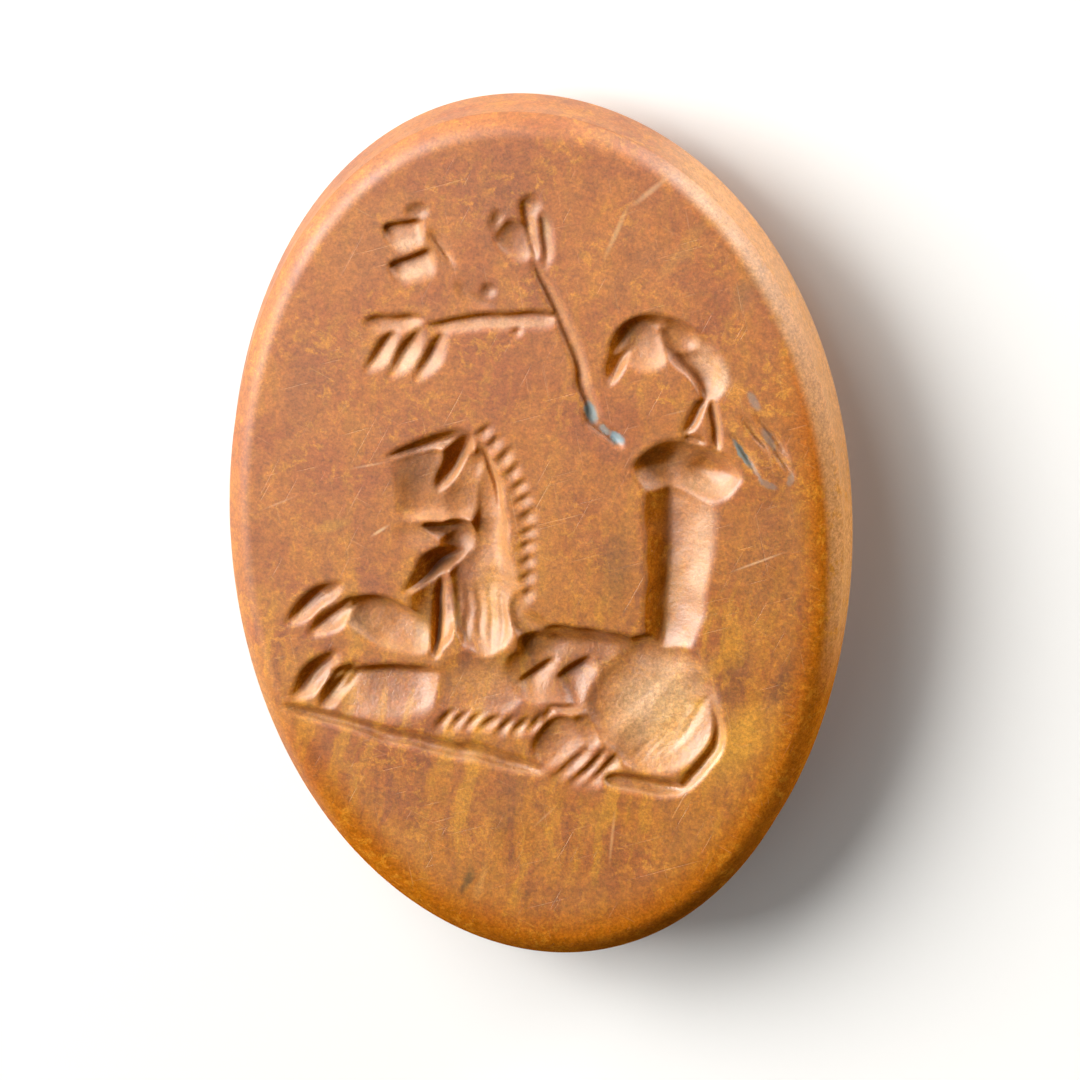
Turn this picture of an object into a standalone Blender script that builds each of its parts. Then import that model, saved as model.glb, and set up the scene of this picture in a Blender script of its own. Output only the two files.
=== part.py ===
"""An oval ringstone of jasper with an intaglio cut into its face.

It shows a clawed beast lying to the left with a notched mane. Behind the beast stands an upright figure that
holds a stem with three sprays. All of it is hollow cuts, as small wheels and round drills leave them.
Sizes are in millimetres, and one factor turns them into metres where the meshes are made.
The stone lies on its flat back: +X across, +Y along, +Z out of the engraved face.
"""

import math

import bmesh
import bpy
from mathutils import Vector

MM = 0.001

# The stone.
LENGTH = 16.0
WIDTH = 11.4
THICKNESS = 2.6
FACE_RISE = 0.18  # how far the middle of the face stands over a flat one
SHOULDER_WIDTH = 0.46  # the rounded border of the face
SHOULDER_DROP = 0.34
SHOULDER_POWER = 2.4
WALL_INSET = 0.10  # the face's edge lies this far inside the girdle
GIRDLE_HEIGHT = 0.95  # where the stone is widest
BEVEL_INSET = 0.04
BEVEL_HEIGHT = 0.85  # the slope down to the back starts here
BACK_RATIO = 0.74  # the flat back, as a share of the outline
UNEVEN = ((3, 0.0050, 36.2), (4, 0.0048, 28.8))  # lobes, share of the radius, place in degrees
SIDES = 64
SHOULDER_RINGS = (0.0, 0.10, 0.24, 0.42, 0.65, 1.0)  # shares of the shoulder's width, from the edge inwards
FACE_RINGS = (0.78, 0.52, 0.26)  # shares of the outline

# The tools. A round tool's centre stays above the face by this share of the depth that it cuts.
TOOL_LIFT = 0.35
TOOL_SIDES = 16
TOOL_RINGS = 10
GROOVE_POWER = 1.5  # 1 is a sharp V, 2 is a round bottom, 6 is nearly flat
GROOVE_SECTION = (-1.0, -0.5, 0.0, 0.5, 1.0)
GROOVE_STATIONS = (-0.9, -0.6, -0.2, 0.2, 0.6, 0.9)
STATION_STEP = 0.60  # on a long groove, one station each so many millimetres
END_STATION = 0.96
RIM_SPREAD = 1.25  # the tool above the face, as a share of the groove's width
CLEARANCE = 0.30  # how far a tool stands out above the face

# Round hollows: x, y, half length, half width, depth, heading in degrees, lean of the deepest point.
HOLLOWS = {
    # The beast.
    "haunch": (1.92, -3.16, 1.2, 1.1, 0.36, 44, 0.5),
    "loin": (1.0, -2.6, 1.62, 0.7, 0.33, -22, 0.5),
    "trunk": (0.3, -2.56, 1.15, 0.6, 0.26, -6, 0.0),
    "belly": (-1.2, -2.6, 0.95, 0.6, 0.09, 5, -0.3),
    "rump": (2.24, -3.6, 1.12, 0.88, 0.31, 46, 0.35),
    "chest": (-0.87, -0.95, 1.22, 0.6, 0.38, 87, 0.7),
    "breast_floor": (-2.02, -1.06, 0.9, 0.42, 0.32, 92, -0.6),
    "jaw_root": (-1.32, 0.08, 0.5, 0.38, 0.4, -62, -0.1),
    "hind_foot": (0.24, -3.9, 0.56, 0.46, 0.17, 45, 0.5),
    "foreleg_upper": (-2.86, -1.5, 0.9, 0.45, 0.3, -25, 0.5),
    "hock": (0.8, -3.62, 0.5, 0.34, 0.12, 25, 0.2),
    # The upright figure.
    "hand_upper": (1.2, 2.28, 0.28, 0.13, 0.11, 102, 0.0),
    "hand_lower": (1.62, 1.82, 0.2, 0.12, 0.1, -40, 0.0),
    "wedge": (2.84, 3.56, 0.5, 0.36, 0.31, -50, 0.1),
    "brim_of_figure": (2.22, 3.42, 0.52, 0.46, 0.29, 0, 0.6),
    # The sprays.
    "spray_left_bud": (-1.66, 6.18, 0.2, 0.16, 0.06, 0, 0.0),
    "spray_middle_bud": (-0.26, 5.95, 0.2, 0.12, 0.06, 80, 0.0),
    "berry": (-0.5, 4.65, 0.15, 0.12, 0.06, 60, 0.0),
    "branch_knot": (-0.01, 3.88, 0.11, 0.08, 0.08, 20, 0.0),
    "spray_middle_leaf": (0.08, 5.56, 0.42, 0.32, 0.14, -35, 0.1),
    "spray_middle_tip": (0.4, 6.12, 0.24, 0.2, 0.08, 80, 0.2),
}

# Grooves: the points of the middle line, width at its start and end, depth, lean, bluntness of the ends, and
# where it isn't GROOVE_POWER the power of the cross-section.
GROOVES = {
    # The beast's head.
    "cheek": (((-1.16, 1.74), (-1.42, 0.46)), 0.84, 1.2, 0.27, 0.5, 6, 3),
    "muzzle": (((-1.96, 1.84), (-1.92, 0.5)), 0.96, 1.06, 0.2, 0.55, 8, 2.2),
    "eye": (((-1.1, 2.1), (-1.46, 1.46), (-1.86, 0.9)), 0.6, 0.34, 0.44, 0.4, 2.5),
    "brow": (((-1.08, 2.1), (-1.66, 1.9), (-2.56, 1.68)), 0.46, 0.16, 0.2, 0.2, 3),
    "jaw": (((-1.2, 0.22), (-1.75, 0.22), (-2.48, 0.22)), 0.5, 0.46, 0.04, 0.0, 4, 2),
    "jaw_gap": (((-2.05, 0.36), (-1.5, 0.26), (-0.98, 0.12)), 0.2, 0.6, 0.37, 0.35, 2.2, 2),
    "throat": (((-0.96, 0.06), (-1.62, -0.26), (-2.5, -0.8)), 0.66, 0.5, 0.54, 0.3, 1.8),
    # Its neck, breast and body.
    "neck": (
        ((-0.86, 1.95), (-0.76, 1.2), (-0.8, 0.4), (-0.86, -0.5), (-0.9, -1.5)),
        0.36, 0.98, 0.32, -0.4, 2.2, 3,
    ),
    "crest": (((-0.86, 1.86), (-0.7, 1.35), (-0.62, 0.8), (-0.62, 0.2)), 0.12, 0.16, 0.34, 0.2, 3),
    "breast_outer": (
        ((-1.74, -0.5), (-1.82, -0.95), (-1.87, -1.4), (-1.98, -2.1)),
        0.34, 0.26, 0.52, 0.0, 4,
    ),
    "breast_inner": (((-1.38, -0.6), (-1.38, -1.3), (-1.38, -2.0)), 0.3, 0.24, 0.36, 0.0, 4),
    "back": (((-0.5, -2.06), (0.6, -2.16), (1.75, -2.34)), 0.86, 1.0, 0.36, 0.3, 6, 2),
    "withers": (((-0.5, -0.9), (-0.4, -1.45), (0.15, -1.95)), 0.5, 0.6, 0.18, 0.0, 4, 2),
    "rib_front": (((-0.42, -2.98), (0.02, -2.72), (0.54, -2.4)), 0.74, 0.74, 0.33, 0.8, 4, 1.3),
    "rib_back": (((0.3, -3.14), (0.82, -2.84), (1.26, -2.56)), 1.16, 1.16, 0.41, 0.8, 4, 1.3),
    "flank": (((-0.1, -3.18), (0.5, -3.2), (1.15, -3.16)), 0.18, 0.22, 0.16, 0.2, 2),
    # Its foreleg and tail, and the ground line.
    "foreleg_lower": (((-4.05, -2.66), (-2.9, -2.72), (-1.94, -2.76)), 1.0, 1.08, 0.25, 0.7, 5),
    "tail_upper": (
        ((2.88, -3.05), (3.02, -3.6), (2.98, -4.05), (2.7, -4.42), (2.22, -4.9)),
        0.22, 0.34, 0.15, 0.2, 6,
    ),
    "tail_lower": (((2.36, -4.9), (1.6, -4.68), (0.88, -4.53)), 0.34, 0.34, 0.2, 0.0, 6),
    "ground": (
        ((-4.85, -2.9), (-4.0, -3.14), (-3.2, -3.44), (-2.4, -3.66), (-1.4, -3.94), (-0.12, -4.36)),
        0.28, 0.34, 0.15, -0.2, 8,
    ),
    # The upright figure.
    "crown": (((1.62, 3.26), (2.02, 3.76), (2.5, 3.88), (3.0, 3.76)), 0.3, 0.46, 0.26, -0.2, 4),
    "nape": (((2.78, 3.74), (3.12, 3.32), (3.4, 2.88), (3.48, 2.34)), 0.96, 0.5, 0.27, -0.65, 3),
    "arm": (((1.48, 2.82), (1.76, 3.26), (2.14, 3.72)), 0.32, 0.4, 0.22, -0.4, 3),
    "sleeve_left": (((3.34, 2.52), (3.08, 2.16), (2.82, 1.78)), 0.26, 0.2, 0.15, 0.5, 4),
    "sleeve_foot": (((2.84, 1.74), (3.24, 1.62)), 0.16, 0.14, 0.12, -0.3, 4),
    "sleeve_right": (((3.4, 2.5), (3.42, 2.0), (3.42, 1.42)), 0.16, 0.2, 0.14, 0.4, 4),
    "robe": (((2.74, 1.1), (2.68, 0.3), (2.56, -0.8), (2.24, -2.5)), 1.5, 0.88, 0.36, -0.3, 7, 1.3),
    "shoulder_of_figure": (((1.9, 1.2), (2.8, 1.08), (3.84, 0.86)), 1.28, 1.04, 0.4, 0.1, 3, 1.4),
    # The stem and its sprays.
    "stem": (
        ((0.42, 5.22), (0.62, 4.62), (0.86, 3.95), (1.03, 3.3), (1.14, 2.6), (1.34, 2.1), (1.8, 1.68)),
        0.26, 0.24, 0.12, -0.35, 8,
    ),
    "branch": (((-1.66, 4.0), (-0.85, 4.1), (0.0, 4.08), (0.78, 4.04)), 0.28, 0.34, 0.14, 0.45, 8, 1.3),
    "twig": (((-1.02, 4.86), (-0.84, 4.56), (-0.45, 4.34)), 0.22, 0.18, 0.04, 0.0, 3),
    "spray_low_head": (((-2.78, 4.16), (-1.7, 4.12)), 0.36, 0.28, 0.12, 0.4, 4),
    "spray_left_1": (((-2.26, 5.74), (-1.56, 5.8)), 0.48, 0.48, 0.15, 0.7, 8, 1.3),
    "spray_left_2": (((-2.22, 5.05), (-1.4, 5.28)), 0.46, 0.48, 0.18, 0.7, 8, 1.3),
    "spray_left_3": (((-1.42, 5.82), (-1.26, 5.5), (-1.08, 5.14)), 0.26, 0.12, 0.08, -0.3, 3),
    "spray_middle_2": (((0.3, 6.32), (0.36, 5.8), (0.46, 5.14)), 0.38, 0.22, 0.15, -0.3, 4, 1.3),
    "spray_middle_3": (((0.62, 6.02), (0.65, 5.6), (0.66, 5.02)), 0.24, 0.22, 0.1, -0.4, 4, 1.5),
}

# Rows of like cuts: middle line, how many, heading and length at its start and end, width, depth, lean.
ROWS = {
    "mane": (
        ((-0.74, 2.04), (-0.32, 1.36), (-0.1, 0.6), (-0.12, -0.22), (-0.22, -1.02)),
        12, (33, 30), (0.42, 0.38), 0.24, 0.065, 0.5,
    ),
    "belly_nick": (
        ((-1.85, -3.28), (-1.3, -3.35), (-0.7, -3.5), (-0.3, -3.5), (0.02, -3.34)),
        8, (36, 46), (0.66, 0.5), 0.24, 0.085, 0.5,
    ),
    "fore_claw_upper": (((-4.12, -0.99), (-3.72, -1.24)), 2, (36, 37), (1.3, 1.25), 0.46, 0.2, 0.05),
    "fore_claw_lower": (((-4.2, -2.33), (-3.76, -2.56)), 2, (43, 45), (1.25, 1.15), 0.5, 0.24, 0.1),
    "hind_toe": (((0.22, -4.04), (0.54, -4.3), (1.0, -4.42)), 4, (42, 36), (1.0, 1.05), 0.3, 0.13, 0.7),
    "low_spray": (((-2.46, 3.64), (-1.6, 3.52)), 3, (50, 55), (1.02, 1.12), 0.36, 0.14, 0.3),
    "ray": (((3.92, 1.36), (4.34, 1.78), (4.52, 1.3)), 4, (-60, -58), (0.95, 1.1), 0.14, 0.1, 0.0),
}

JASPER = ((0.47, 0.16, 0.045), 0.32)  # linear colour, roughness


def outline(turn):
    """The outline's point at this angle, on a true oval made a little uneven by hand grinding."""
    swell = 1 + sum(share * math.cos(lobes * (turn - math.radians(place))) for lobes, share, place in UNEVEN)
    return Vector((WIDTH / 2 * math.cos(turn), LENGTH / 2 * math.sin(turn))) * swell


def face_height(x, y):
    """The height of the uncut face over (x, y)."""
    turn = math.atan2(y / LENGTH, x / WIDTH)
    edge = outline(turn).length
    share = math.hypot(x, y) / edge
    into_shoulder = 1 - (edge - WALL_INSET - math.hypot(x, y)) / SHOULDER_WIDTH
    drop = SHOULDER_DROP * min(max(into_shoulder, 0.0), 1.0) ** SHOULDER_POWER
    return THICKNESS - FACE_RISE * share**2 - drop


def ring_at_inset(inset, height=None):
    """The outline moved inwards, at one height or on the face."""
    points = []
    for side in range(SIDES):
        edge = outline(math.tau * side / SIDES)
        point = edge * (1 - inset / edge.length)
        points.append((*point, face_height(*point) if height is None else height))
    return points


def ring_at_share(share, height=None):
    """The outline made smaller by one factor, at one height or on the face."""
    points = []
    for side in range(SIDES):
        point = outline(math.tau * side / SIDES) * share
        points.append((*point, face_height(*point) if height is None else height))
    return points


def loft(mesh, rings, first=None, last=None):
    """Closed skin through rings of equal count, with a point or a flat face at each end."""
    rows = [[mesh.verts.new(Vector(point) * MM) for point in ring] for ring in rings]
    count = len(rows[0])
    for above, below in zip(rows, rows[1:]):
        for i in range(count):
            j = (i + 1) % count
            mesh.faces.new((above[i], above[j], below[j], below[i]))
    for row, tip in ((rows[0], first), (rows[-1], last)):
        if tip is None:
            mesh.faces.new(row)
            continue
        apex = mesh.verts.new(Vector(tip) * MM)
        for i in range(count):
            mesh.faces.new((row[i], row[(i + 1) % count], apex))


def add_object(name, mesh, collection, material=None):
    """An object from a bmesh, with its faces turned outwards."""
    bmesh.ops.recalc_face_normals(mesh, faces=mesh.faces)
    data = bpy.data.meshes.new(name)
    mesh.to_mesh(data)
    mesh.free()
    if material:
        data.materials.append(material)
    made = bpy.data.objects.new(name, data)
    collection.objects.link(made)
    return made


def make_stone(collection, material):
    """The uncut stone: convex face, rounded shoulder, low wall, bevelled foot and flat back."""
    rings = [ring_at_share(share) for share in reversed(FACE_RINGS)]
    rings += [ring_at_inset(WALL_INSET + SHOULDER_WIDTH * share) for share in reversed(SHOULDER_RINGS)]
    rings.append(ring_at_inset(0.0, GIRDLE_HEIGHT))
    rings.append(ring_at_inset(BEVEL_INSET, BEVEL_HEIGHT))
    rings.append(ring_at_share(BACK_RATIO, 0.0))
    mesh = bmesh.new()
    loft(mesh, rings, first=(0, 0, THICKNESS))
    return add_object("gem", mesh, collection, material)


def make_hollow(name, collection, x, y, half_length, half_width, depth, heading, lean):
    """A ball or lens that stands in the face and cuts a hollow of this length, width and depth."""
    height = depth * (1 + TOOL_LIFT)
    spread = 1 / math.sqrt(1 - (TOOL_LIFT / (1 + TOOL_LIFT)) ** 2)
    middle = face_height(x, y) + TOOL_LIFT * depth
    turn = math.radians(heading)
    along = Vector((math.cos(turn), math.sin(turn)))
    across = Vector((-math.sin(turn), math.cos(turn)))
    mesh = bmesh.new()
    bmesh.ops.create_uvsphere(mesh, u_segments=TOOL_SIDES, v_segments=TOOL_RINGS, radius=1.0)
    for vert in mesh.verts:
        u, v, w = vert.co
        flat = along * (u * half_length * spread) + across * ((v - lean * w) * half_width * spread)
        vert.co = Vector((x + flat.x, y + flat.y, middle + w * height)) * MM
    return add_object(name, mesh, collection)


def smooth_path(points, steps):
    """Points spaced along a smooth line through the given ones, from share 0 to 1, with its headings."""
    knots = [Vector(point) for point in points]
    knots = [2 * knots[0] - knots[1], *knots, 2 * knots[-1] - knots[-2]]
    spans = len(knots) - 3
    found = []
    for share in steps:
        span = min(int(share * spans), spans - 1)
        t = share * spans - span
        a, b, c, d = knots[span : span + 4]
        bend = 2 * a - 5 * b + 4 * c - d
        twist = 3 * b - a - 3 * c + d
        place = 0.5 * (2 * b + (c - a) * t + bend * t**2 + twist * t**3)
        heading = 0.5 * ((c - a) + 2 * bend * t + 3 * twist * t**2)
        found.append((place, heading.normalized()))
    return found


def groove_depth(offset, lean, power):
    """Share of the full depth at this offset, -1 to 1 across the groove, whose deepest line is at lean."""
    side = (offset - lean) / ((1 - lean) if offset > lean else (-1 - lean))
    return 1 - abs(side) ** power


def groove_stations(points):
    """Where the sections of a groove stand, from -1 at its start to 1 at its end."""
    length = sum((Vector(b) - Vector(a)).length for a, b in zip(points, points[1:]))
    if length <= STATION_STEP * len(GROOVE_STATIONS):
        return list(GROOVE_STATIONS)
    count = math.ceil(length / STATION_STEP)
    return [-END_STATION, *(2 * i / count - 1 for i in range(1, count)), END_STATION]


def make_groove(name, collection, points, width_start, width_end, depth, lean, bluntness, power=GROOVE_POWER):
    """A wheel's cut along a line: deepest at its lean, running out at both ends."""
    stations = groove_stations(points)
    path = smooth_path(points, [0.0, *((u + 1) / 2 for u in stations), 1.0])
    rings = []
    for u, (place, heading) in zip(stations, path[1:-1]):
        across = Vector((-heading.y, heading.x))
        fullness = 1 - abs(u) ** bluntness
        width = (width_start + (width_end - width_start) * (u + 1) / 2) * fullness ** (1 / power)
        ground = face_height(*place)
        ring = []
        for offset in GROOVE_SECTION:
            bent = lean + (offset * (1 - lean) if offset > 0 else offset * (1 + lean))
            point = place + across * (bent * width / 2)
            ring.append((*point, ground - depth * fullness * groove_depth(bent, lean, power)))
        for side in (RIM_SPREAD, -RIM_SPREAD):
            point = place + across * (side * width / 2)
            ring.append((*point, ground + CLEARANCE))
        rings.append(ring)
    tips = [(*place, face_height(*place) + CLEARANCE / 3) for place, _ in (path[0], path[-1])]
    mesh = bmesh.new()
    loft(mesh, rings, first=tips[0], last=tips[1])
    return add_object(name, mesh, collection)


def make_row(name, collection, points, count, headings, lengths, width, depth, lean):
    """Like cuts beside each other along a line, their heading and length changing evenly."""
    shares = [i / (count - 1) for i in range(count)]
    for i, (share, (place, _)) in enumerate(zip(shares, smooth_path(points, shares))):
        turn = math.radians(headings[0] + (headings[1] - headings[0]) * share)
        length = lengths[0] + (lengths[1] - lengths[0]) * share
        half = Vector((math.cos(turn), math.sin(turn))) * length / 2
        make_groove(f"{name}_{i + 1}", collection, (place - half, place + half), width, width, depth, lean, 2)


def make_jasper():
    """Polished yellow-brown jasper."""
    colour, roughness = JASPER
    material = bpy.data.materials.new("jasper")
    material.use_nodes = True
    shader = material.node_tree.nodes["Principled BSDF"]
    shader.inputs["Base Color"].default_value = (*colour, 1)
    shader.inputs["Roughness"].default_value = roughness
    shader.inputs["Metallic"].default_value = 0.0
    material.diffuse_color = (*colour, 1)
    return material


def box_middle():
    """The middle of the outline's box, which the uneven grinding moves a little off the oval's centre."""
    points = [outline(math.tau * side / SIDES) for side in range(SIDES)]
    spans = [[point[axis] for point in points] for axis in (0, 1)]
    return Vector([(min(span) + max(span)) / 2 for span in spans])


def new_collection(name):
    made = bpy.data.collections.new(name)
    bpy.context.scene.collection.children.link(made)
    return made


def main():
    for old in list(bpy.data.objects):
        bpy.data.objects.remove(old)
    parts = new_collection("Intaglio gem")
    stone = make_stone(parts, make_jasper())
    tools = new_collection("Engraving tools")
    for name, values in HOLLOWS.items():
        make_hollow(name, tools, *values)
    for name, values in GROOVES.items():
        make_groove(name, tools, *values)
    for name, values in ROWS.items():
        make_row(name, tools, *values)
    for tool in tools.objects:
        tool.hide_render = True
        tool.display_type = "WIRE"
    centre = bpy.data.objects.new("centre", None)
    centre.location = (*(-box_middle() * MM), 0)
    parts.objects.link(centre)
    for placed in (stone, *tools.objects):
        placed.parent = centre
    tools.hide_render = True
    engraving = stone.modifiers.new("Engraving", "BOOLEAN")
    engraving.operation = "DIFFERENCE"
    engraving.solver = "EXACT"
    engraving.operand_type = "COLLECTION"
    engraving.collection = tools


main()
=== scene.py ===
# %% [markdown]
# # An engraved ringstone
# The object is one small oval of jasper. A seal cutter ground it to a low dome, polished it, and then cut a
# picture into the face with wheels and round drills on a turning rod, fed with oil and emery. The picture is
# hollow: pressed into wax or clay it leaves a raised one.
#
# The lesson follows the bench: the outline, the dome, the drills, the wheels, a last polish, and then the
# stone's own colours, with some painted light and shade.

# %% Load the measured model
import math

import bmesh
import bpy
import numpy as np
from mathutils import Matrix, Vector
from mathutils.bvhtree import BVHTree


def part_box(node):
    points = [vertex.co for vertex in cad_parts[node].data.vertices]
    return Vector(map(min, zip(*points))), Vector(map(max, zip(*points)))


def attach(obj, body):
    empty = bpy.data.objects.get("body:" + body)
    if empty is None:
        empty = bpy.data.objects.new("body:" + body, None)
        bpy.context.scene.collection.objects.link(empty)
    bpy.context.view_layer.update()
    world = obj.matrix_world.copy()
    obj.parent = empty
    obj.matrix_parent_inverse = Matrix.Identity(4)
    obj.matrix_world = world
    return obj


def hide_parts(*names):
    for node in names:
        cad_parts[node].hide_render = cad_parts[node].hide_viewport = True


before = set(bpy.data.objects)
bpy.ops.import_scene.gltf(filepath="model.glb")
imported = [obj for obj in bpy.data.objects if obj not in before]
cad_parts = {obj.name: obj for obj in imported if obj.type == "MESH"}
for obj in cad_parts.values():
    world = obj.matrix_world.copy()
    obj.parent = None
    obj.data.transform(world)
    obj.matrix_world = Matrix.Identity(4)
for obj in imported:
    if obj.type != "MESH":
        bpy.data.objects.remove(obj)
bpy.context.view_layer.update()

scene = bpy.context.scene
MM = 0.001
lowest, highest = (np.array(corner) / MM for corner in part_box("gem"))
stone_width, stone_length, stone_thickness = highest - lowest
print(f"stone {stone_length:.2f} x {stone_width:.2f} x {stone_thickness:.2f} mm")

# %% [markdown]
# ## The oval
# A ringstone's outline is an ellipse, but it was ground by eye, so two cosines make its radius swell and
# shrink by half a percent. The ellipse is scaled so that the outline just fills the measured box, and
# `picture_shift` is where the middle of the picture falls in that box.

# %% Outline of the stone
UNEVEN = ((3, 0.0050, 36.2), (4, 0.0048, 28.8))  # lobes, share of the radius, place in degrees


def swell(turn):
    """Factor on the ellipse's radius at this angle."""
    return 1 + sum(share * np.cos(lobes * (turn - math.radians(place))) for lobes, share, place in UNEVEN)


turns = np.linspace(0, math.tau, 721)
unit_outline = np.stack([np.cos(turns), np.sin(turns)], 1) * swell(turns)[:, None]
unit_span = np.ptp(unit_outline, axis=0)
half_width = stone_width / unit_span[0]
half_length = stone_length / unit_span[1]
half_axes = np.array([half_width, half_length])
box_middle = (unit_outline.max(0) + unit_outline.min(0)) / 2 * half_axes
picture_shift = (lowest + highest)[:2] / 2 - box_middle
print("half axes", half_axes.round(3), "mm; the picture is moved by", picture_shift.round(3), "mm")

# %% [markdown]
# ## The face before the engraving
# The face is a low dome that turns down in a rounded shoulder, so that it doesn't chip in the ring.
# `face_height` works on whole arrays, because the engraving needs the height at half a million places: one for
# each cell of a fine sheet of squares laid over the face.

# %% Dome and shoulder
FACE_RISE = 0.18
SHOULDER_WIDTH = 0.46
SHOULDER_DROP = 0.34
SHOULDER_POWER = 2.4
WALL_INSET = 0.10
CELL = 0.02


def face_height(x, y):
    """Height of the uncut face over (x, y), in the picture's own millimetres."""
    turn = np.arctan2(y / half_length, x / half_width)
    edge = np.hypot(half_width * np.cos(turn), half_length * np.sin(turn)) * swell(turn)
    radius = np.hypot(x, y)
    into_shoulder = np.clip(1 - (edge - WALL_INSET - radius) / SHOULDER_WIDTH, 0, 1)
    return stone_thickness - FACE_RISE * (radius / edge) ** 2 - SHOULDER_DROP * into_shoulder**SHOULDER_POWER


sheet_half = np.ceil(half_axes * 1.03 / CELL) * CELL
sheet_x = np.arange(-sheet_half[0], sheet_half[0] + CELL / 2, CELL)
sheet_y = np.arange(-sheet_half[1], sheet_half[1] + CELL / 2, CELL)
X, Y = np.meshgrid(sheet_x, sheet_y)
uncut = face_height(X, Y)
floor_of_cut = uncut.copy()
print("sheet of", X.shape, "cells of", CELL, "mm")

# %% [markdown]
# ## Blur and soft noise
# Both weaken a sheet's waves, the short ones most. With a Fourier transform that costs the same for any width.
# The blur is the last polish of the cuts, and blurred random numbers are the unsteadiness of a hand.

# %% Blur and noise on the sheet
wave_y = np.fft.fftfreq(X.shape[0], CELL)[:, None]
wave_x = np.fft.rfftfreq(X.shape[1], CELL)[None, :]


def blur(values, spread):
    """Gaussian blur with its spread in millimetres."""
    keep = np.exp(-2 * (math.pi * spread) ** 2 * (wave_x**2 + wave_y**2))
    return np.fft.irfft2(np.fft.rfft2(values) * keep, s=values.shape)


def soft_noise(seed, size):
    """Smooth noise of spread 1 whose lumps are about this many millimetres across."""
    rough = np.random.default_rng(seed).standard_normal(X.shape)
    smooth = blur(rough, size / 3)
    return smooth / smooth.std()


# %% [markdown]
# ## Round drills
# A ball-shaped drill leaves a bowl. The engraver rocks it, so the bowl becomes an oval, deeper towards one
# side. The bowl here is the underside of a stretched ball that stands a little above the face: `DRILL_LIFT`
# keeps its rim from being a vertical wall. Where two bowls cross, the deeper floor wins.

# %% A bowl
DRILL_LIFT = 0.35
EDGE_ROUNDING = 0.04


def window(x, y, reach):
    """The part of the sheet within reach of a place."""
    columns = slice(*np.searchsorted(sheet_x, (x - reach, x + reach)))
    rows = slice(*np.searchsorted(sheet_y, (y - reach, y + reach)))
    return rows, columns


def press(part, floor):
    """Lowers this part of the sheet to a cut's floor. Where the two cross, the edge is rounded a little."""
    old = floor_of_cut[part]
    near = np.maximum(EDGE_ROUNDING - np.abs(old - floor), 0) / EDGE_ROUNDING
    floor_of_cut[part] = np.minimum(old, floor) - near**2 * EDGE_ROUNDING / 4


def cut_bowl(x, y, half_long, half_wide, depth, heading, lean):
    """Cuts one oval bowl, its deepest point moved sideways by lean half-widths."""
    spread = 1 / math.sqrt(1 - (DRILL_LIFT / (1 + DRILL_LIFT)) ** 2)
    part = window(x, y, 1.3 * max(half_long, half_wide) + 0.2)
    turn = math.radians(heading)
    right, up = X[part] - x, Y[part] - y
    u = (right * math.cos(turn) + up * math.sin(turn)) / (half_long * spread)
    v = (up * math.cos(turn) - right * math.sin(turn)) / (half_wide * spread)
    stretch = 1 + lean**2
    inside = (lean * v) ** 2 - stretch * (u**2 + v**2 - 1)
    ball = (-lean * v - np.sqrt(np.maximum(inside, 0))) / stretch
    floor = face_height(x, y) + depth * (DRILL_LIFT + ball * (1 + DRILL_LIFT))
    press(part, np.where(inside > 0, floor, np.inf))


# %% [markdown]
# ## Wheels
# A thin wheel leaves a groove like a boat: it runs in, is deepest in the middle and runs out. Its two sides are
# seldom alike, because the stone is held at a slant, so `lean` moves the deepest line to one side. Its middle
# line is a smooth curve through a few points: between two of them it is a cubic that keeps the headings even.

# %% A smooth line
def smooth_line(points, shares):
    """Places and headings at these shares of a smooth line through the points."""
    knots = [np.array(point, float) for point in points]
    knots = np.array([2 * knots[0] - knots[1], *knots, 2 * knots[-1] - knots[-2]])
    spans = len(knots) - 3
    span = np.minimum((shares * spans).astype(int), spans - 1)
    t = (shares * spans - span)[:, None]
    a, b, c, d = (knots[span + i] for i in range(4))
    bend = 2 * a - 5 * b + 4 * c - d
    twist = 3 * b - a - 3 * c + d
    place = 0.5 * (2 * b + (c - a) * t + bend * t**2 + twist * t**3)
    ahead = 0.5 * ((c - a) + 2 * bend * t + 3 * twist * t**2)
    return place, ahead / np.linalg.norm(ahead, axis=1)[:, None]


# %% [markdown]
# Each cell near the line looks up the nearest of sixty points on it. How far along and how far to the side it
# lies give its depth. A `power` of 1.5 makes a blunt V, 3 a trough. A `bluntness` of 2 lets the groove run out
# like a boat's ends, and 6 ends it nearly square.

# %% A groove
GROOVE_POWER = 1.5
PATH_STEPS = 60


def cut_groove(points, width_start, width_end, depth, lean, bluntness, power=GROOVE_POWER):
    """Cuts one groove along a line."""
    places, headings = smooth_line(points, np.linspace(0, 1, PATH_STEPS))
    steps = np.linalg.norm(np.diff(places, axis=0), axis=1)
    run = np.concatenate([[0], np.cumsum(steps)])
    middle = (places.max(0) + places.min(0)) / 2
    part = window(*middle, np.abs(places - middle).max() + max(width_start, width_end))
    right = X[part][..., None] - places[:, 0]
    up = Y[part][..., None] - places[:, 1]
    nearest = (right**2 + up**2).argmin(-1)
    picked = nearest[..., None]
    right = np.take_along_axis(right, picked, -1)[..., 0]
    up = np.take_along_axis(up, picked, -1)[..., 0]
    ahead = headings[nearest]
    along = run[nearest] + right * ahead[..., 0] + up * ahead[..., 1]
    sideways = up * ahead[..., 0] - right * ahead[..., 1]
    share = along / run[-1]
    fullness = 1 - np.abs(2 * share - 1) ** bluntness
    half = (width_start + (width_end - width_start) * np.clip(share, 0, 1)) / 2
    offset = sideways / half
    side = np.where(offset > lean, (offset - lean) / (1 - lean), (lean - offset) / (1 + lean))
    press(part, uncut[part] - depth * np.clip(fullness - side**power, -2, 1))


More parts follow.
